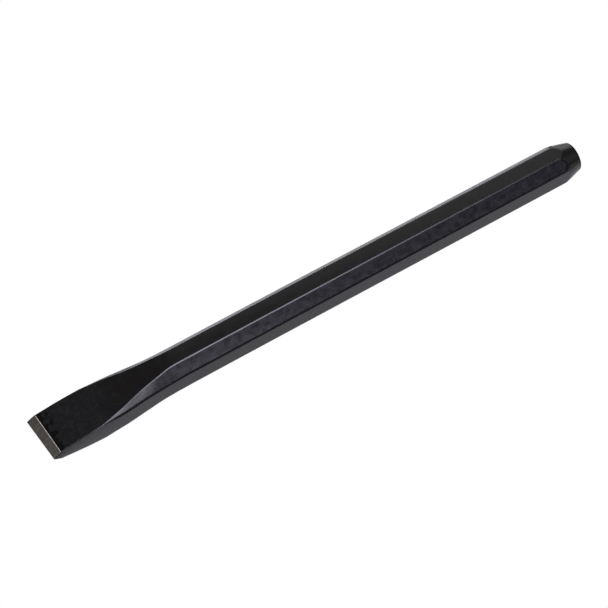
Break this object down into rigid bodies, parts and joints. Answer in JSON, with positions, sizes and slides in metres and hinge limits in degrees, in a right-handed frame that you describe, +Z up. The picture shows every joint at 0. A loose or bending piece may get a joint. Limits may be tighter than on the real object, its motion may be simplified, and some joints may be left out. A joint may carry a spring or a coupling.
{
  "type": "cold chisel",
  "caption": "Flat cold chisel for cutting metal: an eight-sided forged steel bar with a flared tapered blade, a bare ground edge, a coned striking head and a black lacquer film.",
  "frame": {"origin": "centre of the footprint, on the surface the chisel lies on", "axes": "+X along the tool from the cutting edge to the struck head, +Y across the blade's width, +Z up through its thickness"},
  "size_m": [0.3, 0.0254, 0.019],
  "materials": {
    "ground_steel": "fine-ground bare tool steel, grind lines running from the cutting edge to the blade",
    "black_lacquer": "satin black lacquer, smooth on the flats and mottled by forging scale on the corner facets"
  },
  "bodies": {
    "root": {"forged_body": "ground_steel", "lacquer_coat": "black_lacquer"}
  },
  "joints": []
}
